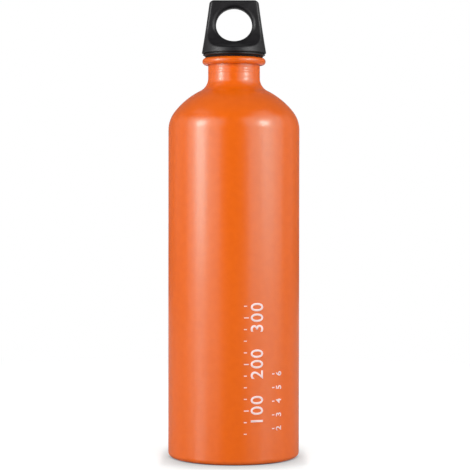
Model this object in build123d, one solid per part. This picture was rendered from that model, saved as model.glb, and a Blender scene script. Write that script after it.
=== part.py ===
from build123d import *
import os
from math import acos, asin, cos, degrees, radians, sin

# A camping fuel bottle: a drawn metal shell with a rolled lip, a threaded ring held in its neck,
# and a screw cap made of a loop-handle top, a threaded plug and a flat gasket.
# Millimetres and degrees, +Z up. The origin is the centre of the base, on the floor.
# The front of the bottle looks along -Y, so the hole of the loop runs along Y.
# Outlines of turned pieces are drawn as (radius, height).

# Bottle shell
body_radius = 36.5
wall = 0.9
side_height = 182.0
shoulder_round = 16.5
shoulder_turn = 37.8
crown_round = 41.4
neck_round = 7.85
neck_radius = 14.42
neck_length = 9.2
lip_round = 2.05
lip_turn = 290

# Concave base, with the flat ring that the bottle stands on
base_thickness = 1.8
base_rise = 4.5
foot_round = 2.75
foot_width = 2.6
foot_step_width = 2.1
foot_step_height = 2.0
foot_inner_round = 2.5
foot_crease_round = 1.2

# Rolled grooves in the neck, which hold the threaded ring
groove_count = 3
groove_drop = 4.0
groove_spacing = 1.4
groove_width = 0.5
groove_depth = 0.05

# Threaded ring
ring_fit_gap = 0.05
ring_drop = 0.6
ring_length = 10.5
ring_wall = 1.7
ring_lead = 0.4

# Thread that the ring and the plug share
thread_pitch = 4.0
thread_depth = 1.1
thread_crest_width = 1.2
thread_flank_slope = 0.5
thread_side_gap = 0.35
thread_root_overlap = 0.3

# Threaded plug of the cap
plug_length = 17.5
plug_wall = 2.9
plug_floor = 4.0
plug_lead = 1.3
spigot_side_gap = 1.7
spigot_ring_gap = 0.4
flange_height = 1.52
flange_cover = 0.45
flange_band = 0.4
flange_edge_round = 0.2
seam_set_back = 0.65
seam_width = 0.55
seam_depth = 1.0
boss_radius = 9.0
boss_height = 3.8
boss_fit_gap = 0.05

# Flat gasket
gasket_thickness = 0.85
gasket_bore_gap = 0.3
gasket_lip_cover = 0.4
gasket_lip_gap = 0.05
gasket_edge_round = 0.15

# Loop cap
cap_height = 29.35
cap_overhang = 0.33
cap_taper = 4.38
cap_flare = 0.17
cap_rim_round = 0.35
cap_top_round = 2.1
tab_half_thickness = 5.0
tab_edge_round = 1.4
scoop_floor = 3.05
hole_floor = 6.33
hole_round = 2.6
loop_top_width = 4.33
loop_side_width = 5.58
cut_overrun = 5.0
match_share = 0.002


# Radii and heights worked out from the sizes above
def polar(centre, radius, angle):
    """The point at this distance and angle from a centre."""
    return centre[0] + radius * cos(radians(angle)), centre[1] + radius * sin(radians(angle))


shoulder_centre = (body_radius - shoulder_round, side_height)
crown_centre = polar(shoulder_centre, shoulder_round - crown_round, shoulder_turn)
crown_end_turn = degrees(acos((neck_radius + neck_round - crown_centre[0]) / (crown_round + neck_round)))
hollow_centre = polar(crown_centre, crown_round + neck_round, crown_end_turn)
neck_bottom = hollow_centre[1]
neck_bore = neck_radius - wall
lip_centre = (neck_bore + lip_round, neck_bottom + neck_length)
lip_top = lip_centre[1] + lip_round
groove_heights = [lip_centre[1] - groove_drop - i * groove_spacing for i in reversed(range(groove_count))]

ring_radius = neck_bore - ring_fit_gap
ring_top = lip_centre[1] - ring_drop
ring_bottom = ring_top - ring_length
ring_root = ring_radius - ring_wall
ring_crest = ring_root - thread_depth
plug_crest = ring_root - thread_side_gap
plug_root = plug_crest - thread_depth

gasket_bottom = lip_top + gasket_lip_gap
flange_bottom = gasket_bottom + gasket_thickness
seam_height = flange_bottom + flange_height
plug_bottom = flange_bottom - plug_length
spigot_bottom = ring_top + spigot_ring_gap
spigot_radius = neck_bore - spigot_side_gap
gasket_bore = spigot_radius + gasket_bore_gap
gasket_radius = lip_centre[0] + gasket_lip_cover

cap_rim_radius = lip_centre[0] + lip_round + cap_overhang
cap_top_radius = cap_rim_radius - cap_taper
cap_waist_radius = (cap_rim_radius + cap_top_radius) / 2 - cap_flare
cap_top = seam_height + cap_height
hole_width = 2 * (cap_waist_radius - loop_side_width)
hole_height = cap_height - hole_floor - loop_top_width
hole_centre_height = seam_height + hole_floor + hole_height / 2


def face_of(*outline):
    """A flat face bounded by lines, arcs and polylines that meet end to end."""
    return make_face([edge for piece in outline for edge in piece.edges()])


def turned(face):
    """The solid that an outline face of radius and height makes when it is turned about Z."""
    return revolve(Plane.XZ * face, Axis.Z)


def rounded(face, point, radius):
    """The outline face with its corner nearest to a point rounded."""
    corner = min(face.vertices(), key=lambda v: (Vector(*point) - Vector(v.X, v.Y)).length)
    return fillet(corner, radius)


def shoulder_arcs(inset):
    """The three arcs from the side to the neck, set inwards from the outside of the metal."""
    return [
        CenterArc(shoulder_centre, shoulder_round - inset, 0, shoulder_turn),
        CenterArc(crown_centre, crown_round - inset, shoulder_turn, crown_end_turn - shoulder_turn),
        CenterArc(hollow_centre, neck_round + inset, 180 + crown_end_turn, -crown_end_turn),
    ]


def grooved_line(radius, low, high):
    """An upright line that dips inwards at each rolled groove of the neck."""
    lines = []
    start = (radius, low)
    for height in groove_heights:
        below = (radius, height - groove_width / 2)
        above = (radius, height + groove_width / 2)
        lines.append(Line(start, below))
        lines.append(ThreePointArc(below, (radius - groove_depth, height), above))
        start = above
    lines.append(Line(start, (radius, high)))
    return lines


def bottle_shell():
    """One sheet of metal: concave base, side, shoulder, grooved neck and the lip rolled outwards."""
    side_bore = body_radius - wall
    foot_outer = body_radius - foot_round
    foot_inner = foot_outer - foot_width
    dome_edge = (foot_inner - foot_step_width, foot_step_height)
    dome_rise = base_rise - foot_step_height
    dome_round = (dome_edge[0] ** 2 + dome_rise**2) / (2 * dome_rise)
    dome_centre = (0, base_rise - dome_round)
    dome_turn = degrees(asin(dome_edge[0] / dome_round))
    floor_round = dome_round + base_thickness
    floor_edge = polar(dome_centre, floor_round, 90 - dome_turn)
    valley = (foot_inner + foot_width / 2, base_thickness)
    valley_outer = side_bore - foot_inner_round
    outside = [
        CenterArc(dome_centre, dome_round, 90, -dome_turn),
        Polyline(dome_edge, (foot_inner, 0), (foot_outer, 0)),
        CenterArc((foot_outer, foot_round), foot_round, 270, 90),
        Line((body_radius, foot_round), (body_radius, side_height)),
        *shoulder_arcs(0),
        *grooved_line(neck_radius, neck_bottom, lip_centre[1]),
        CenterArc(lip_centre, lip_round - wall, 180, -lip_turn),
    ]
    inside = [
        CenterArc(dome_centre, floor_round, 90, -dome_turn),
        Polyline(floor_edge, valley, (valley_outer, base_thickness)),
        CenterArc((valley_outer, base_thickness + foot_inner_round), foot_inner_round, 270, 90),
        Line((side_bore, base_thickness + foot_inner_round), (side_bore, side_height)),
        *shoulder_arcs(wall),
        *grooved_line(neck_bore, neck_bottom, lip_centre[1]),
        CenterArc(lip_centre, lip_round, 180, -lip_turn),
    ]
    lip_end = Line(outside[-1] @ 1, inside[-1] @ 1)
    axis_line = Line((0, base_rise), (0, base_rise + base_thickness))
    section = face_of(*outside, lip_end, *inside, axis_line)
    for crease in (dome_edge, (foot_inner, 0), floor_edge, valley):
        section = rounded(section, crease, foot_crease_round)
    return turned(section)


def thread_tooth(root, crest, bottom, length):
    """A right-hand thread's tooth from its root radius to its crest radius, long at both ends."""
    tip = thread_crest_width / 2
    foot = tip + abs(crest - root) * thread_flank_slope
    section = Polygon((root, -foot), (crest, -tip), (crest, tip), (root, foot), align=None)
    path = Helix(thread_pitch, length, root)
    return Pos(0, 0, bottom) * sweep(Plane.XZ * section, path, is_frenet=True)


def neck_thread_ring():
    """The ring that the neck's rolled grooves grip. Its inside thread is half a pitch off the plug's."""
    outside = grooved_line(ring_radius, ring_bottom, ring_top)
    bore_line = Polyline(outside[0] @ 0, (ring_root, ring_bottom), (ring_root, ring_top), outside[-1] @ 1)
    ring = turned(face_of(*outside, bore_line))
    reach = (ring_top - ring_bottom) + thread_pitch + (ring_bottom - plug_bottom)
    tooth = thread_tooth(ring_root + thread_root_overlap, ring_crest, plug_bottom, reach)
    trim = face_of(
        Polyline(
            (ring_radius, ring_bottom),
            (ring_root, ring_bottom),
            (ring_crest - thread_side_gap, ring_bottom + ring_lead + thread_depth),
            (ring_crest - thread_side_gap, ring_top - ring_lead - thread_depth),
            (ring_root, ring_top),
            (ring_radius, ring_top),
            close=True,
        )
    )
    return ring + (tooth & turned(trim))


def threaded_plug():
    """The plug of the cap: boss, bevelled flange, plain spigot for the gasket and hollow thread."""
    flange_top_radius = cap_rim_radius - seam_set_back
    flange_top = seam_height - seam_width
    land_radius = flange_top_radius - seam_depth
    hollow_radius = plug_root - plug_wall
    section = face_of(
        Polyline(
            (hollow_radius, plug_bottom),
            (plug_root, plug_bottom),
            (plug_root, spigot_bottom),
            (spigot_radius, spigot_bottom),
            (spigot_radius, flange_bottom),
            (gasket_radius + flange_cover, flange_bottom),
            (flange_top_radius, flange_top - flange_band),
            (flange_top_radius, flange_top),
            (land_radius, flange_top),
            (land_radius, seam_height),
            (boss_radius - boss_fit_gap, seam_height),
            (boss_radius - boss_fit_gap, seam_height + boss_height),
            (0, seam_height + boss_height),
            (0, seam_height - plug_floor),
            (hollow_radius, seam_height - plug_floor),
            close=True,
        )
    )
    section = rounded(section, (flange_top_radius, flange_top), flange_edge_round)
    reach = (spigot_bottom - plug_bottom) + thread_pitch
    bottom = plug_bottom - thread_pitch / 2
    tooth = thread_tooth(plug_root - thread_root_overlap, plug_crest, bottom, reach)
    trim = face_of(
        Polyline(
            (hollow_radius, plug_bottom),
            (plug_root, plug_bottom),
            (plug_crest + thread_side_gap, plug_bottom + plug_lead + thread_side_gap),
            (plug_crest + thread_side_gap, spigot_bottom),
            (hollow_radius, spigot_bottom),
            close=True,
        )
    )
    return turned(section) + (tooth & turned(trim))


def cap_gasket():
    """The flat rubber ring between the flange and the rolled lip."""
    corners = [
        (gasket_bore, gasket_bottom),
        (gasket_radius, gasket_bottom),
        (gasket_radius, flange_bottom),
        (gasket_bore, flange_bottom),
    ]
    section = face_of(Polyline(*corners, close=True))
    for corner in corners:
        section = rounded(section, corner, gasket_edge_round)
    return turned(section)


def cap_scoop():
    """What is cut from one side of the cap: flat beside the loop, then an arc out to the rim."""
    low = seam_height + scoop_floor
    top = cap_top + cut_overrun
    scoop_round = hole_centre_height - low
    arc_centre = (tab_half_thickness + scoop_round, hole_centre_height)
    reach = arc_centre[0] + cap_rim_radius
    profile = face_of(
        Polyline(
            (arc_centre[0], low),
            (reach, low),
            (reach, top),
            (tab_half_thickness, top),
            (tab_half_thickness, hole_centre_height),
        ),
        CenterArc(arc_centre, scoop_round, 180, 90),
    )
    return extrude(Plane.YZ * profile, reach, both=True)


def on_loop_face(edge):
    """Whether an edge of the cap lies on one of the two scooped faces."""
    least = tab_half_thickness * (1 - match_share)
    return all(abs((edge @ place).Y) > least for place in (0, 0.5, 1))


def on_hole(edge):
    """Whether an edge's middle lies on the wall of the elliptical hole."""
    middle = edge @ 0.5
    across = middle.X / (hole_width / 2)
    up = (middle.Z - hole_centre_height) / (hole_height / 2)
    return abs(across**2 + up**2 - 1) < match_share


def on_arc_start(edge):
    """Whether an edge is the level line where the flat face runs into the scoop's arc."""
    return abs((edge @ 0.5).Z - hole_centre_height) < hole_height * match_share


def loop_cap():
    """The moulded top: a cone scooped on two sides to a tab, with an elliptical carrying hole."""
    rim = (cap_rim_radius, seam_height)
    top = (cap_top_radius, cap_top)
    waist = (cap_waist_radius, seam_height + cap_height / 2)
    section = face_of(
        ThreePointArc(rim, waist, top),
        Polyline(top, (0, cap_top), (0, seam_height), rim),
    )
    section = rounded(section, rim, cap_rim_round)
    section = rounded(section, top, cap_top_round)
    scoop = cap_scoop()
    reach = cap_rim_radius + cut_overrun
    hole = Plane.XZ * Pos(0, hole_centre_height) * Ellipse(hole_width / 2, hole_height / 2)
    cap = turned(section) - scoop - mirror(scoop, Plane.XZ) - extrude(hole, reach, both=True)
    face_edges = cap.edges().filter_by(on_loop_face)
    cap = fillet([e for e in face_edges if not on_hole(e) and not on_arc_start(e)], tab_edge_round)
    cap = fillet(cap.edges().filter_by(on_loop_face).filter_by(on_hole), hole_round)
    socket_depth = boss_height + boss_fit_gap
    socket = Cylinder(boss_radius, socket_depth, align=(Align.CENTER, Align.CENTER, Align.MIN))
    return cap - Pos(0, 0, seam_height) * socket


os.makedirs("parts", exist_ok=True)
for make in (bottle_shell, neck_thread_ring, threaded_plug, cap_gasket, loop_cap):
    export_step(make(), f"parts/{make.__name__}.step")
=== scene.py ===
"""Looks of the camping fuel bottle: paint, printed fill scale, plastic, rubber, studio and camera.

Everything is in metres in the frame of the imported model: +Z up from the centre of the base, and the
front of the bottle faces -Y. Angles are in degrees where nothing else is said.
"""
import logging
from dataclasses import dataclass, field
from enum import Enum
from math import acos, asin, atan2, cos, degrees, pi, radians, sin
from typing import Any, Iterable, Sequence

import bmesh
import bpy
from mathutils import Matrix, Vector


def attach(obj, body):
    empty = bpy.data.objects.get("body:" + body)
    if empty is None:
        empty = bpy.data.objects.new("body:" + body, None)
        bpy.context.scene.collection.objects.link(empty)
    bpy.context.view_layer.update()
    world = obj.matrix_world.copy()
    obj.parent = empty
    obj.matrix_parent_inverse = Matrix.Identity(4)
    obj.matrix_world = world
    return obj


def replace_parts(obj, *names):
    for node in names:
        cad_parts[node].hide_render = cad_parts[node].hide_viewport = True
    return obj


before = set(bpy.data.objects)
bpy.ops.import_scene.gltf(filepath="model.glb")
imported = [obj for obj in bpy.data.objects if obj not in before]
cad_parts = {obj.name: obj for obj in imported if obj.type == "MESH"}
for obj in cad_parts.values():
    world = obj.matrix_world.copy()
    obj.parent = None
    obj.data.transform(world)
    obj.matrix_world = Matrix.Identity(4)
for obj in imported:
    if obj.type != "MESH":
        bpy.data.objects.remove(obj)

log = logging.getLogger("fuel_bottle")

MERGE_DISTANCE = 1e-6

# A millilitre in cubic metres, and a fluid ounce in millilitres.
MILLILITRE = 1e-6
FLUID_OUNCE = 29.57

# The value that a noise lies round, and the numbers of the colour sockets of the Mix node.
NOISE_MIDDLE = 0.5
MIX_FIRST = 6
MIX_SECOND = 7
MIX_RESULT = 2

Colour = tuple[float, float, float]
Point = tuple[float, float]
Span = tuple[float, float]
Sockets = dict[str | int, Any]

WHITE: Colour = (1.0, 1.0, 1.0)
BLACK: Colour = (0.0, 0.0, 0.0)


class Body(Enum):
    """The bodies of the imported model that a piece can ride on."""

    BOTTLE = "bottle"
    CAP = "cap"
    GASKET = "gasket"


class Slot(Enum):
    """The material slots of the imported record."""

    COATED_METAL = "coated_metal"
    BARE_METAL = "bare_metal"
    BLACK_PLASTIC = "black_plastic"
    BLACK_RUBBER = "black_rubber"


def opaque(colour: Colour) -> tuple[float, float, float, float]:
    """A colour with its alpha."""
    return (*colour, 1.0)


class Signal:
    """One output socket of a shader. Arithmetic on it adds the nodes that work it out."""

    def __init__(self, graph: "ShaderGraph", socket: bpy.types.NodeSocket) -> None:
        """Wraps a socket.

        Args:
            graph: The shader that the socket belongs to.
            socket: The output socket.
        """
        self.graph = graph
        self.socket = socket

    def sibling(self, name: str) -> "Signal":
        """Another output of the node that this one comes from."""
        return Signal(self.graph, self.socket.node.outputs[name])

    def combined(self, operation: str, other: Any = None, swapped: bool = False) -> "Signal":
        """Works out this signal and another value with a Math or Vector Math node.

        Args:
            operation: The node's operation.
            other: A signal, number or vector, or None for an operation on one value.
            swapped: Whether the other value comes first.

        Returns:
            The result.
        """
        values = [self] if other is None else [other, self] if swapped else [self, other]
        kind = "ShaderNodeVectorMath" if self.socket.type == "VECTOR" else "ShaderNodeMath"
        return self.graph.node(kind, {"operation": operation}, dict(enumerate(values)))

    def __add__(self, other: Any) -> "Signal":
        """This plus other."""
        return self.combined("ADD", other)

    def __sub__(self, other: Any) -> "Signal":
        """This minus other."""
        return self.combined("SUBTRACT", other)

    def __rsub__(self, other: Any) -> "Signal":
        """Other minus this."""
        return self.combined("SUBTRACT", other, swapped=True)

    def __mul__(self, other: Any) -> "Signal":
        """This times other."""
        return self.combined("MULTIPLY", other)

    def at_least(self, other: Any) -> "Signal":
        """The larger of this and other."""
        return self.combined("MAXIMUM", other)

    def size(self) -> "Signal":
        """The distance of a number from 0."""
        return self.combined("ABSOLUTE")

    def length(self) -> "Signal":
        """The length of a vector."""
        return self.combined("LENGTH").sibling("Value")

    def spread(self, middle: float, width: float) -> "Signal":
        """A noise brought to a middle value and a width between its lowest and highest."""
        return (self - NOISE_MIDDLE) * width + middle

    def eased(self, low: float, high: float) -> "Signal":
        """A smooth step of a number.

        Args:
            low: The value at which the step starts from 0.
            high: The value at which it reaches 1. It may be the smaller one, for a step down.

        Returns:
            The step, from 0 to 1.
        """
        first, last, start, end = (low, high, 0.0, 1.0) if low < high else (high, low, 1.0, 0.0)
        limits = {"From Min": first, "From Max": last, "To Min": start, "To Max": end}
        settings = {"interpolation_type": "SMOOTHSTEP"}
        return self.graph.node("ShaderNodeMapRange", settings, {"Value": self, **limits})


class ShaderGraph:
    """The node tree of a material or a world."""

    def __init__(self, owner: bpy.types.Material | bpy.types.World) -> None:
        """Empties the owner's node tree.

        Args:
            owner: The material or world.
        """
        owner.use_nodes = True
        self.tree = owner.node_tree
        self.tree.nodes.clear()

    def node(
        self,
        kind: str,
        settings: dict[str, Any] | None = None,
        inputs: Sockets | None = None,
        output: str | int = 0,
    ) -> Signal:
        """Adds a node.

        Args:
            kind: The node's type.
            settings: Its settings, which are set first.
            inputs: A signal or a plain value for each named or numbered socket.
            output: The output that is wanted.

        Returns:
            The signal of that output.
        """
        made = self.tree.nodes.new(kind)
        for name, value in (settings or {}).items():
            setattr(made, name, value)
        for name, value in (inputs or {}).items():
            if isinstance(value, Signal):
                self.tree.links.new(value.socket, made.inputs[name])
            else:
                made.inputs[name].default_value = value
        return Signal(self, made.outputs[output])

    def object_place(self) -> Signal:
        """The point on the piece, in the model's frame."""
        return self.node("ShaderNodeTexCoord", output="Object")

    def camera_ray(self) -> Signal:
        """Whether the camera sees the point itself. Its siblings tell the other kinds of ray."""
        return self.node("ShaderNodeLightPath", output="Is Camera Ray")

    def axis_values(self, vector: Signal) -> tuple[Signal, Signal, Signal]:
        """The X, Y and Z of a vector."""
        across = self.node("ShaderNodeSeparateXYZ", inputs={0: vector})
        return across, across.sibling("Y"), across.sibling("Z")

    def noise(self, place: Signal, grain: float, detail: float = 2.0) -> Signal:
        """A noise with a grain of a real size.

        Args:
            place: Where it is read.
            grain: The rough width of its lumps.
            detail: How many finer layers it has.

        Returns:
            The noise, from 0 to 1.
        """
        sockets = {"Vector": place, "Scale": 1 / grain, "Detail": detail}
        return self.node("ShaderNodeTexNoise", {"noise_dimensions": "3D"}, sockets, "Fac")

    def mixed(self, share: Signal, first: Colour, second: Colour) -> Signal:
        """A mix of two colours.

        Args:
            share: How much there is of the second.
            first: The colour at 0.
            second: The colour at 1.

        Returns:
            The mixed colour.
        """
        sockets = {0: share, MIX_FIRST: opaque(first), MIX_SECOND: opaque(second)}
        return self.node("ShaderNodeMix", {"data_type": "RGBA"}, sockets, MIX_RESULT)

    def bumped(self, height: Signal, depth: float, normal: Signal | None = None) -> Signal:
        """A normal tilted by a height map.

        Args:
            height: The height, from 0 to 1.
            depth: How far 1 stands above 0.
            normal: The normal to start from, if not the surface's own.

        Returns:
            The normal.
        """
        sockets: Sockets = {"Strength": 1.0, "Distance": depth, "Height": height}
        if normal is not None:
            sockets["Normal"] = normal
        return self.node("ShaderNodeBump", inputs=sockets)

    def surface(self, sockets: Sockets) -> Signal:
        """The shader of a solid surface with the given values and signals of its sockets."""
        return self.node("ShaderNodeBsdfPrincipled", inputs=sockets)

    def shaders_mixed(self, share: Signal, first: Signal, second: Signal) -> Signal:
        """A mix of two shaders, with the share of the second."""
        return self.node("ShaderNodeMixShader", inputs={0: share, 1: first, 2: second})

    def finish(self, shader: Signal, kind: str = "ShaderNodeOutputMaterial") -> None:
        """Joins a shader to the output.

        Args:
            shader: The shader.
            kind: The type of the output node.
        """
        output = self.tree.nodes.new(kind)
        self.tree.links.new(shader.socket, output.inputs["Surface"])


@dataclass(frozen=True)
class Finish:
    """A surface that is worked out at each point of a piece."""

    name: str

    def shader(self, graph: ShaderGraph, place: Signal) -> Signal:
        """Works out the surface, in each kind of finish.

        Args:
            graph: The material's nodes.
            place: The point on the piece.

        Returns:
            The shader.
        """
        raise NotImplementedError

    def material(self) -> bpy.types.Material:
        """Makes the material.

        Returns:
            The material.
        """
        made = bpy.data.materials.new(self.name)
        graph = ShaderGraph(made)
        graph.finish(self.shader(graph, graph.object_place()))
        return made


@dataclass(frozen=True)
class PowderCoat(Finish):
    """Satin powder coat: an even colour with fine orange peel and a shine that adds little red."""

    name: str = "orange_powder_coat"
    colour: Colour = (0.84, 0.133, 0.0015)
    deep_colour: Colour = (0.82, 0.126, 0.0012)
    tone_grain: float = 0.004
    tone_span: Span = (0.35, 0.65)
    shine_colour: Colour = (0.35, 1.0, 1.0)
    ior: float = 1.62
    roughness: float = 0.26
    roughness_spread: float = 0.04
    peel_grain: float = 0.0011
    peel_depth: float = 0.000004

    def shader(self, graph: ShaderGraph, place: Signal) -> Signal:
        """Works out the paint.

        Args:
            graph: The material's nodes.
            place: The point on the piece.

        Returns:
            The shader.
        """
        peel = graph.noise(place, self.peel_grain)
        tone = graph.noise(place, self.tone_grain).eased(*self.tone_span)
        sockets = {
            "Base Color": graph.mixed(tone, self.colour, self.deep_colour),
            "Roughness": peel.spread(self.roughness, self.roughness_spread),
            "Normal": graph.bumped(peel, self.peel_depth),
            "IOR": self.ior,
            "Specular Tint": opaque(self.shine_colour),
        }
        return graph.surface(sockets)


@dataclass(frozen=True)
class BareAluminium(Finish):
    """Bare metal with rings round the axis, wider where it is drawn than where it is turned."""

    ring_width: float
    colour: Colour = (0.77, 0.77, 0.78)
    dull_colour: Colour = (0.60, 0.60, 0.62)
    stain_grain: float = 0.008
    stain_span: Span = (0.4, 0.7)
    roughness: float = 0.30
    ring_roughness: float = 0.12
    ring_depth: float = 0.000006
    ring_stretch: float = 0.02

    def shader(self, graph: ShaderGraph, place: Signal) -> Signal:
        """Works out the metal.

        Args:
            graph: The material's nodes.
            place: The point on the piece.

        Returns:
            The shader.
        """
        scale = (self.ring_stretch, self.ring_stretch, 1.0)
        stretched = graph.node("ShaderNodeMapping", inputs={"Vector": place, "Scale": scale})
        rings = graph.noise(stretched, self.ring_width, detail=3.0)
        stain = graph.noise(place, self.stain_grain, detail=4.0).eased(*self.stain_span)
        sockets = {
            "Base Color": graph.mixed(stain, self.colour, self.dull_colour),
            "Metallic": 1.0,
            "Roughness": rings * self.ring_roughness + self.roughness,
            "Normal": graph.bumped(rings, self.ring_depth),
        }
        return graph.surface(sockets)


@dataclass(frozen=True)
class MouldedPlastic(Finish):
    """Black moulded plastic with a fine grain and, if wanted, the parting line of its mould."""

    parting_line: bool
    colour: Colour = (0.0056, 0.0050, 0.0062)
    worn_colour: Colour = (0.0092, 0.0085, 0.0098)
    tone_grain: float = 0.006
    tone_span: Span = (0.4, 0.65)
    ior: float = 1.45
    roughness: float = 0.46
    roughness_spread: float = 0.10
    grain: float = 0.00045
    grain_depth: float = 0.000012
    line_width: float = 0.00016
    line_depth: float = 0.00005

    def shader(self, graph: ShaderGraph, place: Signal) -> Signal:
        """Works out the plastic.

        Args:
            graph: The material's nodes.
            place: The point on the piece.

        Returns:
            The shader.
        """
        grain = graph.noise(place, self.grain, detail=3.0)
        tone = graph.noise(place, self.tone_grain, detail=3.0)
        normal = graph.bumped(grain, self.grain_depth)
        if self.parting_line:
            _, depth, _ = graph.axis_values(place)
            line = depth.size().eased(self.line_width, 0.0)
            normal = graph.bumped(line, self.line_depth, normal)
        sockets = {
            "Base Color": graph.mixed(tone.eased(*self.tone_span), self.colour, self.worn_colour),
            "Roughness": tone.spread(self.roughness, self.roughness_spread),
            "Normal": normal,
            "IOR": self.ior,
        }
        return graph.surface(sockets)


@dataclass(frozen=True)
class Rubber(Finish):
    """Matt black rubber with a dusty bloom."""

    name: str = "gasket_rubber"
    colour: Colour = (0.0045, 0.0045, 0.0045)
    bloom_colour: Colour = (0.0100, 0.0100, 0.0100)
    bloom_grain: float = 0.004
    bloom_span: Span = (0.45, 0.7)
    shine: float = 0.25
    roughness: float = 0.75
    roughness_spread: float = 0.15
    grain: float = 0.0003
    grain_depth: float = 0.00001

    def shader(self, graph: ShaderGraph, place: Signal) -> Signal:
        """Works out the rubber.

        Args:
            graph: The material's nodes.
            place: The point on the piece.

        Returns:
            The shader.
        """
        grain = graph.noise(place, self.grain, detail=3.0)
        bloom = graph.noise(place, self.bloom_grain, detail=4.0)
        share = bloom.eased(*self.bloom_span)
        sockets = {
            "Base Color": graph.mixed(share, self.colour, self.bloom_colour),
            "Roughness": bloom.spread(self.roughness, self.roughness_spread),
            "Specular IOR Level": self.shine,
            "Normal": graph.bumped(grain, self.grain_depth),
        }
        return graph.surface(sockets)


@dataclass(frozen=True)
class ScreenInk(Finish):
    """White screen-print ink with thin places where the coat shows through."""

    name: str = "white_print_ink"
    colour: Colour = (0.97, 0.77, 0.76)
    thin_colour: Colour = (0.92, 0.66, 0.56)
    thin_span: Span = (0.55, 0.75)
    roughness: float = 0.45
    roughness_spread: float = 0.2
    mesh_grain: float = 0.0003
    mesh_depth: float = 0.000006

    def shader(self, graph: ShaderGraph, place: Signal) -> Signal:
        """Works out the ink.

        Args:
            graph: The material's nodes.
            place: The point on the piece.

        Returns:
            The shader.
        """
        cover = graph.noise(place, self.mesh_grain, detail=3.0)
        sockets = {
            "Base Color": graph.mixed(cover.eased(*self.thin_span), self.colour, self.thin_colour),
            "Roughness": cover.spread(self.roughness, self.roughness_spread),
            "Normal": graph.bumped(cover, self.mesh_depth),
        }
        return graph.surface(sockets)


@dataclass(frozen=True)
class StudioFloor(Finish):
    """Pale floor, white where nothing shades it, with a soft shadow partly rendered, partly painted
    round the foot.
    """

    name: str = "studio_floor"
    colour: Colour = (0.48, 0.48, 0.48)
    # Painted dark reflection: the floor's colour in front of the bottle as glossy rays see it.
    painted_dark_reflection_colour: Colour = (0.10, 0.10, 0.10)
    painted_reflection_depth: Span = (-0.02, -0.07)
    painted_reflection_across: Span = (0.16, 0.04)
    roughness: float = 0.30
    seen_colour: Colour = (0.45, 0.45, 0.45)
    glow_colour: Colour = (0.95, 1.0, 1.0)
    lift: float = 0.70
    # The painted soft shadow round the foot: its reach, samples, extent and strengths.
    contact_reach: float = 0.029
    contact_samples: int = 16
    contact_across: Span = (0.0445, 0.0370)
    contact_depth: Span = (-0.012, -0.036)
    contact_sides: float = 0.75
    contact_front: float = 1.10
    white_distance: Span = (0.20, 0.60)

    def satin(self, graph: ShaderGraph, place: Signal, rays: Signal) -> Signal:
        """Works out the floor as the lamps and the bottle see it, painted darker in front of the
        bottle for reflections.

        Args:
            graph: The material's nodes.
            place: The point on the floor.
            rays: The kind of ray.

        Returns:
            The shader.
        """
        across, depth, _ = graph.axis_values(place)
        # Painted reflection: only glossy rays see this dark patch, which darkens the bottle's lower
        # front.
        painted_reflection_patch = depth.eased(*self.painted_reflection_depth) * across.size().eased(*self.painted_reflection_across)
        mirrored = rays.sibling("Is Glossy Ray") * painted_reflection_patch
        tone = graph.mixed(mirrored, self.colour, self.painted_dark_reflection_colour)
        return graph.surface({"Base Color": tone, "Roughness": self.roughness})

    def contact_shade(self, graph: ShaderGraph, place: Signal) -> Signal:
        """Works out how dark the painted soft shadow round the foot is, stronger in front of the
        bottle.

        Args:
            graph: The material's nodes.
            place: The point on the floor.

        Returns:
            The shadow, 0 where there is none.
        """
        across, depth, _ = graph.axis_values(place)
        openness = graph.node(
            "ShaderNodeAmbientOcclusion",
            {"samples": self.contact_samples},
            {"Distance": self.contact_reach},
            "AO",
        )
        forward = depth.eased(*self.contact_depth) * (self.contact_front - self.contact_sides)
        beside = across.size().eased(*self.contact_across)
        return (1 - openness) * (forward + self.contact_sides) * beside

    def seen(self, graph: ShaderGraph, place: Signal) -> Signal:
        """Works out the floor as the camera sees it: with a painted shadow near the bottle, white far
        from it.

        Args:
            graph: The material's nodes.
            place: The point on the floor.

        Returns:
            The shader.
        """
        # The painted shadow darkens both the floor's matt colour and its glow.
        shade = self.contact_shade(graph, place)
        tone = graph.mixed(shade, self.seen_colour, BLACK)
        matt = graph.node("ShaderNodeBsdfDiffuse", inputs={"Color": tone})
        glow = {"Color": graph.mixed(shade, self.glow_colour, BLACK), "Strength": self.lift}
        lift = graph.node("ShaderNodeEmission", inputs=glow)
        lifted = graph.node("ShaderNodeAddShader", inputs={0: matt, 1: lift})
        white = graph.node("ShaderNodeEmission", inputs={"Color": opaque(WHITE), "Strength": 1.0})
        return graph.shaders_mixed(place.length().eased(*self.white_distance), lifted, white)

    def shader(self, graph: ShaderGraph, place: Signal) -> Signal:
        """Works out the floor.

        Args:
            graph: The material's nodes.
            place: The point on the floor.

        Returns:
            The shader.
        """
        rays = graph.camera_ray()
        satin = self.satin(graph, place, rays)
        shown = rays.at_least(rays.sibling("Is Transmission Ray"))
        return graph.shaders_mixed(shown, satin, self.seen(graph, place))


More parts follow.
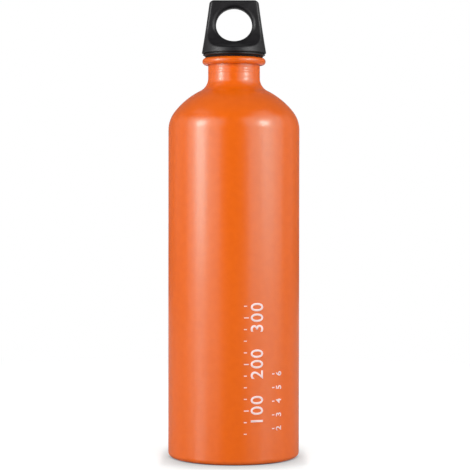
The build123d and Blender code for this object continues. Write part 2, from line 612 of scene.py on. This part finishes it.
@dataclass
class Outline:
    """The outline of a turned piece, as points of radius and height."""

    points: list[Point] = field(default_factory=list)

    def line(self, point: Point) -> "Outline":
        """Adds a straight stretch to a further point."""
        self.points.append(point)
        return self

    def arc(self, centre: Point, radius: float, start: float, turn: float, parts: int) -> "Outline":
        """Adds an arc.

        Args:
            centre: Its centre.
            radius: Its radius.
            start: The angle of its first point, from outwards towards up.
            turn: How far it turns.
            parts: How many straight pieces it is cut into.

        Returns:
            The outline itself.
        """
        for part in range(parts + 1):
            angle = radians(start + turn * part / parts)
            point = (centre[0] + radius * cos(angle), centre[1] + radius * sin(angle))
            self.points.append(point)
        return self

    def rounded(self, corner: Point, after: Point, radius: float, parts: int) -> "Outline":
        """Adds a corner with a rounding.

        Args:
            corner: The sharp corner, which the outline heads for from its last point.
            after: The point that it heads for next.
            radius: The radius of the rounding.
            parts: How many straight pieces it is cut into.

        Returns:
            The outline itself.
        """
        turning = Vector(corner)
        back = (Vector(self.points[-1]) - turning).normalized()
        ahead = (Vector(after) - turning).normalized()
        half = back.angle(ahead) / 2
        centre = turning + (back + ahead).normalized() * (radius / sin(half))
        first = turning + back * (radius * cos(half) / sin(half)) - centre
        start = degrees(atan2(first.y, first.x))
        turn = 180 - degrees(2 * half)
        if back.x * ahead.y - back.y * ahead.x > 0:
            turn = -turn
        return self.arc(tuple(centre), radius, start, turn, parts)


def finished_mesh(name: str, bm: bmesh.types.BMesh) -> bpy.types.Mesh:
    """Makes a mesh of what was built and frees the builder.

    Args:
        name: The mesh's name.
        bm: What was built.

    Returns:
        The mesh.
    """
    mesh = bpy.data.meshes.new(name)
    bm.to_mesh(mesh)
    bm.free()
    return mesh


def linked_object(name: str, data: bpy.types.ID) -> bpy.types.Object:
    """Makes an object and puts it into the scene.

    Args:
        name: The object's name.
        data: Its mesh, curve, light or camera.

    Returns:
        The object.
    """
    made = bpy.data.objects.new(name, data)
    bpy.context.scene.collection.objects.link(made)
    return made


def turned_mesh(name: str, outlines: Sequence[Outline], steps: int, sharp: float) -> bpy.types.Mesh:
    """Turns outlines about Z into one closed mesh, with one material slot for each outline.

    Args:
        name: The mesh's name.
        outlines: Outlines that join end to end or end on the axis.
        steps: How many faces there are round the axis.
        sharp: The angle over which an edge is left sharp.

    Returns:
        The mesh.
    """
    bm = bmesh.new()
    for slot, outline in enumerate(outlines):
        made = set(bm.faces)
        verts = [bm.verts.new((radius, 0.0, height)) for radius, height in outline.points]
        edges = [bm.edges.new(pair) for pair in zip(verts, verts[1:])]
        bmesh.ops.spin(
            bm,
            geom=[*verts, *edges],
            cent=(0, 0, 0),
            axis=(0, 0, 1),
            dvec=(0, 0, 0),
            angle=2 * pi,
            steps=steps,
            use_merge=True,
        )
        for face in bm.faces:
            if face not in made:
                face.material_index = slot
    bmesh.ops.remove_doubles(bm, verts=bm.verts, dist=MERGE_DISTANCE)
    bmesh.ops.dissolve_degenerate(bm, edges=bm.edges, dist=MERGE_DISTANCE)
    bmesh.ops.recalc_face_normals(bm, faces=bm.faces)
    mesh = finished_mesh(name, bm)
    mesh.shade_smooth()
    mesh.set_sharp_from_angle(angle=radians(sharp))
    return mesh


def placed_piece(
    name: str, mesh: bpy.types.Mesh, finishes: Iterable[Finish], body: Body
) -> bpy.types.Object:
    """Makes a mesh a dressed piece that rides on a body.

    Args:
        name: The piece's name.
        mesh: Its mesh.
        finishes: The finish of each of its material slots.
        body: The body that it rides on.

    Returns:
        The piece.
    """
    piece = linked_object(name, mesh)
    for finish in finishes:
        mesh.materials.append(finish.material())
    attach(piece, body.value)
    return piece


@dataclass
class BottleShell:
    """The drawn metal shell: concave base, side, shoulder, grooved neck and rolled lip."""

    body_radius: float = 0.0365
    wall: float = 0.0009
    side_height: float = 0.1820
    shoulder_round: float = 0.0165
    shoulder_turn: float = 37.8
    crown_round: float = 0.0414
    neck_round: float = 0.00785
    neck_radius: float = 0.01442
    neck_length: float = 0.0092
    lip_round: float = 0.00205
    lip_turn: float = 290.0
    bare_lip_turn: float = 25.0
    base_thickness: float = 0.0018
    base_rise: float = 0.0045
    dome_share: float = 0.93
    foot_round: float = 0.00275
    foot_width: float = 0.0026
    foot_flat: float = 0.00104
    foot_step_width: float = 0.0021
    foot_step_height: float = 0.0020
    foot_inner_round: float = 0.0025
    foot_crease_round: float = 0.0012
    groove_count: int = 3
    groove_drop: float = 0.0040
    groove_spacing: float = 0.0014
    groove_width: float = 0.0005
    groove_depth: float = 0.00003
    sharp_angle: float = 40.0
    steps: int = 144
    drawing_ring_width: float = 0.0009

    def __post_init__(self) -> None:
        """Works out the foot, the base's dome and the centres of the arcs from the sizes."""
        self.foot_outer = self.body_radius - self.foot_round
        self.foot_inner = self.foot_outer - self.foot_width
        self.base_edge = (self.foot_inner - self.foot_step_width, self.foot_step_height)
        rise = self.base_rise - self.foot_step_height
        self.dome_round = (self.base_edge[0] ** 2 + rise**2) / (2 * rise)
        self.dome_centre = (0.0, self.base_rise - self.dome_round)
        self.dome_turn = degrees(asin(self.base_edge[0] / self.dome_round))

        self.shoulder_centre = (self.body_radius - self.shoulder_round, self.side_height)
        back = radians(self.shoulder_turn)
        reach = self.shoulder_round - self.crown_round
        self.crown_centre = (
            self.shoulder_centre[0] + reach * cos(back),
            self.shoulder_centre[1] + reach * sin(back),
        )
        span = self.crown_round + self.neck_round
        hollow_radius = self.neck_radius + self.neck_round
        self.crown_end = degrees(acos((hollow_radius - self.crown_centre[0]) / span))
        end = radians(self.crown_end)
        self.hollow_centre = (
            self.crown_centre[0] + span * cos(end),
            self.crown_centre[1] + span * sin(end),
        )
        self.lip_centre = (
            self.neck_radius - self.wall + self.lip_round,
            self.hollow_centre[1] + self.neck_length,
        )

    def add_side_and_neck(self, outline: Outline, inset: float) -> None:
        """Adds the side, shoulder and grooved neck, from low to high.

        Args:
            outline: The outline so far.
            inset: How far inside the outer face the line runs.
        """
        start, end = self.shoulder_turn, self.crown_end
        radius = self.shoulder_round - inset
        outline.arc(self.shoulder_centre, radius, start=0, turn=start, parts=16)
        radius = self.crown_round - inset
        outline.arc(self.crown_centre, radius, start=start, turn=end - start, parts=14)
        radius = self.neck_round + inset
        outline.arc(self.hollow_centre, radius, start=180 + end, turn=-end, parts=18)

        half = self.groove_width / 2
        groove_round = (half**2 + self.groove_depth**2) / (2 * self.groove_depth)
        swing = degrees(asin(half / groove_round))
        groove_radius = self.neck_radius - inset - self.groove_depth + groove_round
        for number in reversed(range(self.groove_count)):
            height = self.lip_centre[1] - self.groove_drop - number * self.groove_spacing
            centre = (groove_radius, height)
            outline.arc(centre, groove_round, start=180 + swing, turn=-2 * swing, parts=8)

    def painted_outline(self) -> Outline:
        """The painted face, from the middle of the base up and round the lip.

        Returns:
            The outline.
        """
        crease = self.foot_crease_round
        ring = ((self.foot_inner, 0.0), (self.foot_outer, 0.0))
        foot_centre = (self.foot_outer, self.foot_round)
        turn = -self.dome_turn * self.dome_share
        outline = Outline().arc(self.dome_centre, self.dome_round, start=90, turn=turn, parts=14)
        outline.rounded(self.base_edge, after=ring[0], radius=crease, parts=5)
        outline.rounded(ring[0], after=ring[1], radius=crease, parts=5)
        outline.line((self.foot_outer - self.foot_flat, 0.0))
        outline.arc(foot_centre, self.foot_round, start=270, turn=90, parts=12)
        self.add_side_and_neck(outline, inset=0.0)
        inner_round = self.lip_round - self.wall
        outline.arc(self.lip_centre, inner_round, start=180, turn=-self.lip_turn, parts=26)
        start, turn = 180 - self.lip_turn, self.lip_turn - self.bare_lip_turn
        return outline.arc(self.lip_centre, self.lip_round, start=start, turn=turn, parts=34)

    def bare_outline(self) -> Outline:
        """The bare inside, from the middle of the floor up to the edge of the paint.

        Returns:
            The outline.
        """
        crease, inner_round = self.foot_crease_round, self.foot_inner_round
        floor_round = self.dome_round + self.base_thickness
        angle = radians(self.dome_turn)
        edge = (floor_round * sin(angle), self.dome_centre[1] + floor_round * cos(angle))
        valley = (self.foot_inner + self.foot_width / 2, self.base_thickness)
        outer = self.body_radius - self.wall - inner_round
        corner_centre = (outer, self.base_thickness + inner_round)
        turn = -self.dome_turn * self.dome_share
        outline = Outline().arc(self.dome_centre, floor_round, start=90, turn=turn, parts=12)
        outline.rounded(edge, after=valley, radius=crease, parts=4)
        outline.rounded(valley, after=(outer, self.base_thickness), radius=crease, parts=4)
        outline.arc(corner_centre, inner_round, start=270, turn=90, parts=8)
        self.add_side_and_neck(outline, inset=self.wall)
        turn = -self.bare_lip_turn
        return outline.arc(self.lip_centre, self.lip_round, start=180, turn=turn, parts=5)

    def build(self) -> bpy.types.Object:
        """Makes the shell.

        Returns:
            The piece.
        """
        outlines = (self.painted_outline(), self.bare_outline())
        mesh = turned_mesh("painted_shell", outlines, self.steps, self.sharp_angle)
        inside = BareAluminium("drawn_aluminium", self.drawing_ring_width)
        finishes = (PowderCoat(), inside)
        shell = placed_piece("painted_shell", mesh, finishes, Body.BOTTLE)
        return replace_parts(shell, "bottle_shell")


@dataclass
class FillScale:
    """A plain fill scale printed on the side: levels in two units, with numerals read upwards.

    Places round the bottle are measured on its side from the middle of the front.
    """

    bottle: BottleShell
    ink_height: float = 0.00003
    ink_sink: float = 0.00002
    strip: float = 0.0006
    line_width: float = 0.00050
    floor_height: float = 0.0044
    letter_spacing: float = 1.14
    letter_weight: float = 0.00008
    letter_resolution: int = 5
    marked_millilitres: Sequence[int] = range(50, 326, 25)
    numbered_millilitres: Sequence[int] = (100, 200, 300)
    mark_place: float = 0.0056
    mark_length: float = 0.0016
    numbered_mark_length: float = 0.0027
    millilitre_place: float = 0.0133
    millilitre_size: float = 0.0100
    numbered_ounces: Sequence[int] = range(2, 7)
    ounce_mark: Span = (0.0222, 0.0238)
    ounce_place: float = 0.0270
    ounce_size: float = 0.0052

    def level(self, millilitres: float) -> float:
        """The height of the surface over the ground with so much in the bottle."""
        bore_radius = self.bottle.body_radius - self.bottle.wall
        return self.floor_height + millilitres * MILLILITRE / (pi * bore_radius**2)

    def add_mark(self, bm: bmesh.types.BMesh, across: Span, height: float) -> None:
        """Adds a level's mark.

        Args:
            bm: The flat print, with the way round the bottle along X and height along Y.
            across: Where the mark starts and ends round the bottle.
            height: The level's height.
        """
        size = Vector((across[1] - across[0], self.line_width, 1.0))
        middle = Vector((sum(across) / 2, height, 0.0))
        matrix = Matrix.Translation(middle) @ Matrix.Diagonal(size).to_4x4()
        bmesh.ops.create_grid(bm, x_segments=1, y_segments=1, size=0.5, matrix=matrix)

    def add_numeral(self, bm: bmesh.types.BMesh, number: int, size: float, middle: Point) -> None:
        """Adds a numeral that is read upwards.

        Args:
            bm: The flat print.
            number: What it says.
            size: The size of its type.
            middle: Its middle, round the bottle and in height.
        """
        curve = bpy.data.curves.new("numeral", "FONT")
        curve.body = str(number)
        curve.size = size
        curve.space_character = self.letter_spacing
        curve.offset = self.letter_weight
        curve.resolution_u = self.letter_resolution
        curve.align_x = "CENTER"
        curve.align_y = "CENTER"
        carrier = linked_object("numeral", curve)
        bpy.context.view_layer.update()
        mesh = bpy.data.meshes.new_from_object(carrier)
        mesh.transform(Matrix.Translation((*middle, 0.0)) @ Matrix.Rotation(pi / 2, 4, "Z"))
        bm.from_mesh(mesh)
        bpy.data.objects.remove(carrier)
        bpy.data.curves.remove(curve)
        bpy.data.meshes.remove(mesh)

    def wrap(self, bm: bmesh.types.BMesh) -> None:
        """Gives the flat print its thickness and lays it round the bottle.

        Args:
            bm: The flat print.
        """
        bmesh.ops.remove_doubles(bm, verts=bm.verts, dist=MERGE_DISTANCE)
        low = min(vert.co.x for vert in bm.verts)
        high = max(vert.co.x for vert in bm.verts)
        cuts = int((high - low) / self.strip)
        for number in range(1, cuts + 1):
            place = (low + number * self.strip, 0.0, 0.0)
            geometry = [*bm.verts, *bm.edges, *bm.faces]
            bmesh.ops.bisect_plane(bm, geom=geometry, plane_co=place, plane_no=(1, 0, 0))
        raised = bmesh.ops.extrude_face_region(bm, geom=list(bm.faces), use_keep_orig=True)
        lifted = [item for item in raised["geom"] if isinstance(item, bmesh.types.BMVert)]
        bmesh.ops.translate(bm, verts=lifted, vec=(0, 0, self.ink_height + self.ink_sink))
        bmesh.ops.recalc_face_normals(bm, faces=bm.faces)
        for vert in bm.verts:
            angle = vert.co.x / self.bottle.body_radius
            radius = self.bottle.body_radius - self.ink_sink + vert.co.z
            vert.co = (radius * sin(angle), -radius * cos(angle), vert.co.y)
        bm.normal_update()

    def build(self) -> bpy.types.Object:
        """Makes the scale.

        Returns:
            The piece.
        """
        bm = bmesh.new()
        for amount in self.marked_millilitres:
            numbered = amount in self.numbered_millilitres
            length = self.numbered_mark_length if numbered else self.mark_length
            self.add_mark(bm, (self.mark_place, self.mark_place + length), self.level(amount))
        for amount in self.numbered_millilitres:
            middle = (self.millilitre_place, self.level(amount))
            self.add_numeral(bm, amount, self.millilitre_size, middle)
        for amount in self.numbered_ounces:
            height = self.level(amount * FLUID_OUNCE)
            self.add_mark(bm, self.ounce_mark, height)
            self.add_numeral(bm, amount, self.ounce_size, (self.ounce_place, height))
        self.wrap(bm)
        mesh = finished_mesh("fill_scale", bm)
        return placed_piece("fill_scale", mesh, (ScreenInk(),), Body.BOTTLE)


@dataclass(frozen=True)
class CadNode:
    """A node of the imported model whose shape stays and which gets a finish."""

    node: str
    body: Body
    slot: Slot
    finish: Finish

    def dress(self) -> bpy.types.Object:
        """Gives the node its finish.

        Returns:
            The node's object.
        """
        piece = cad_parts[self.node]
        material = self.finish.material()
        for number in range(len(piece.data.materials)):
            piece.data.materials[number] = material
        return piece


@dataclass(frozen=True)
class Softbox:
    """A flat rectangular lamp that looks at the bottle."""

    name: str
    azimuth: float
    distance: float
    height: float
    width: float
    length: float
    radiance: float
    aim_height: float = 0.12
    shows_in_gloss: bool = True
    shows_in_matt: bool = True

    def build(self) -> bpy.types.Object:
        """Makes the lamp.

        Returns:
            The lamp.
        """
        light = bpy.data.lights.new(self.name, "AREA")
        light.shape = "RECTANGLE"
        light.size = self.width
        light.size_y = self.length
        light.energy = self.radiance * pi * self.width * self.length
        lamp = linked_object(self.name, light)
        turn = radians(self.azimuth)
        lamp.location = (self.distance * sin(turn), -self.distance * cos(turn), self.height)
        aim = Vector((0, 0, self.aim_height)) - lamp.location
        lamp.rotation_euler = aim.to_track_quat("-Z", "Y").to_euler()
        lamp.visible_camera = False
        lamp.visible_glossy = self.shows_in_gloss
        lamp.visible_diffuse = self.shows_in_matt
        return lamp


@dataclass
class Studio:
    """The floor, the lamps and the white surroundings.

    A span of the surroundings runs from -1, straight in front of the bottle, to 1, straight behind.
    """

    front_ambient: float = 0.02
    back_ambient: float = 0.19
    ambient_span: Span = (-0.6, 0.8)
    mirrored_white_span: Span = (0.95, 1.0)
    floor_radius: float = 6.0
    floor_sides: int = 96
    # Name, azimuth, distance, height, width, length and radiance.
    softboxes: tuple[Softbox, ...] = (
        Softbox("left_core", -59, 1.0, 0.39, 0.38, 0.66, 4.8),
        Softbox("left_high", -61, 1.0, 0.47, 0.16, 0.30, 12.0, shows_in_matt=False),
        Softbox("left_wide", -55, 1.2, 0.52, 1.60, 1.05, 1.9),
        Softbox("left_side", -106, 1.2, 0.42, 0.80, 0.75, 0.37),
        Softbox("right_core", 62, 1.0, 0.42, 0.46, 0.72, 1.3),
        Softbox("right_high", 55, 1.0, 0.49, 0.25, 0.28, 14.0, shows_in_matt=False),
        Softbox("right_wide", 58, 1.2, 0.58, 1.75, 1.22, 1.8),
        Softbox("right_side", 108, 1.2, 0.44, 0.80, 0.85, 0.35),
        Softbox("left_top", -82, 0.9, 1.30, 0.85, 0.36, 0.8, shows_in_matt=False),
        Softbox("right_top", 72, 0.9, 1.30, 0.90, 0.36, 1.2, shows_in_matt=False),
        Softbox("ceiling", 0, 0.10, 1.40, 1.20, 1.20, 0.3, shows_in_gloss=False),
        Softbox("front_fill", 35, 1.3, 0.50, 0.80, 0.80, 1.20, shows_in_gloss=False),
        Softbox("back_fill", 180, 1.3, 0.60, 0.90, 0.80, 5.0, shows_in_gloss=False),
    )

    def build_floor(self) -> bpy.types.Object:
        """Makes the floor.

        Returns:
            The floor.
        """
        bm = bmesh.new()
        sides = self.floor_sides
        bmesh.ops.create_circle(bm, cap_ends=True, segments=sides, radius=self.floor_radius)
        mesh = finished_mesh("floor", bm)
        mesh.materials.append(StudioFloor().material())
        floor = linked_object("floor", mesh)
        return floor

    def build_world(self) -> bpy.types.World:
        """Makes the surroundings: white to the camera and behind the bottle, plain grey as light.

        Returns:
            The world.
        """
        world = bpy.data.worlds.new("studio")
        graph = ShaderGraph(world)
        direction = graph.node("ShaderNodeTexCoord", output="Generated")
        _, away, _ = graph.axis_values(direction)
        rays = graph.camera_ray()
        mirrored = rays.sibling("Is Glossy Ray") * away.eased(*self.mirrored_white_span)
        share = rays.at_least(rays.sibling("Is Transmission Ray")).at_least(mirrored)
        rise = self.back_ambient - self.front_ambient
        level = away.eased(*self.ambient_span) * rise + self.front_ambient
        colour = {"Color": opaque(WHITE)}
        grey = graph.node("ShaderNodeBackground", inputs={**colour, "Strength": level})
        white = graph.node("ShaderNodeBackground", inputs={**colour, "Strength": 1.0})
        graph.finish(graph.shaders_mixed(share, grey, white), "ShaderNodeOutputWorld")
        bpy.context.scene.world = world
        return world

    def build(self) -> None:
        """Makes the whole studio."""
        self.build_floor()
        self.build_world()
        for softbox in self.softboxes:
            softbox.build()


@dataclass(frozen=True)
class PhotoCamera:
    """The camera, at the photograph's distance, height and angle."""

    distance: float = 0.9745
    height: float = 0.1445
    side_step: float = 0.00067
    pitch: float = 1.23
    roll: float = 0.07
    focal_length: float = 133.8
    sensor_width: float = 36.0

    def build(self) -> bpy.types.Object:
        """Makes the camera and makes it the scene's own.

        Returns:
            The camera.
        """
        data = bpy.data.cameras.new("photo_camera")
        data.lens = self.focal_length
        data.sensor_width = self.sensor_width
        camera = linked_object("photo_camera", data)
        tilt = Matrix.Rotation(radians(90 - self.pitch), 4, "X")
        roll = Matrix.Rotation(radians(self.roll), 4, "Z")
        place = Matrix.Translation((self.side_step, -self.distance, self.height))
        camera.matrix_world = place @ tilt @ roll
        bpy.context.scene.camera = camera
        return camera


def main() -> None:
    """Builds the pieces, the studio and the camera."""
    logging.basicConfig(level=logging.INFO, format="%(name)s: %(message)s")
    scene = bpy.context.scene
    scene.view_settings.view_transform = "Standard"
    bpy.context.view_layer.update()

    bottle = BottleShell()
    for piece in (bottle.build(), FillScale(bottle).build()):
        log.info("%s: %d faces", piece.name, len(piece.data.polygons))
    turned = BareAluminium("turned_aluminium", ring_width=0.0002, roughness=0.24)
    plug_plastic = MouldedPlastic("plug_plastic", parting_line=False)
    cap_plastic = MouldedPlastic("cap_plastic", parting_line=True)
    dressed = (
        CadNode("neck_thread_ring", Body.BOTTLE, Slot.BARE_METAL, turned),
        CadNode("threaded_plug", Body.CAP, Slot.BLACK_PLASTIC, plug_plastic),
        CadNode("cap_gasket", Body.GASKET, Slot.BLACK_RUBBER, Rubber()),
        CadNode("loop_cap", Body.CAP, Slot.BLACK_PLASTIC, cap_plastic),
    )
    for part in dressed:
        name, finish = part.dress().name, part.finish.name
        log.info("%s: %s as %s, on %s", name, finish, part.slot.value, part.body.value)

    Studio().build()
    PhotoCamera().build()


if __name__ == "__main__":
    main()
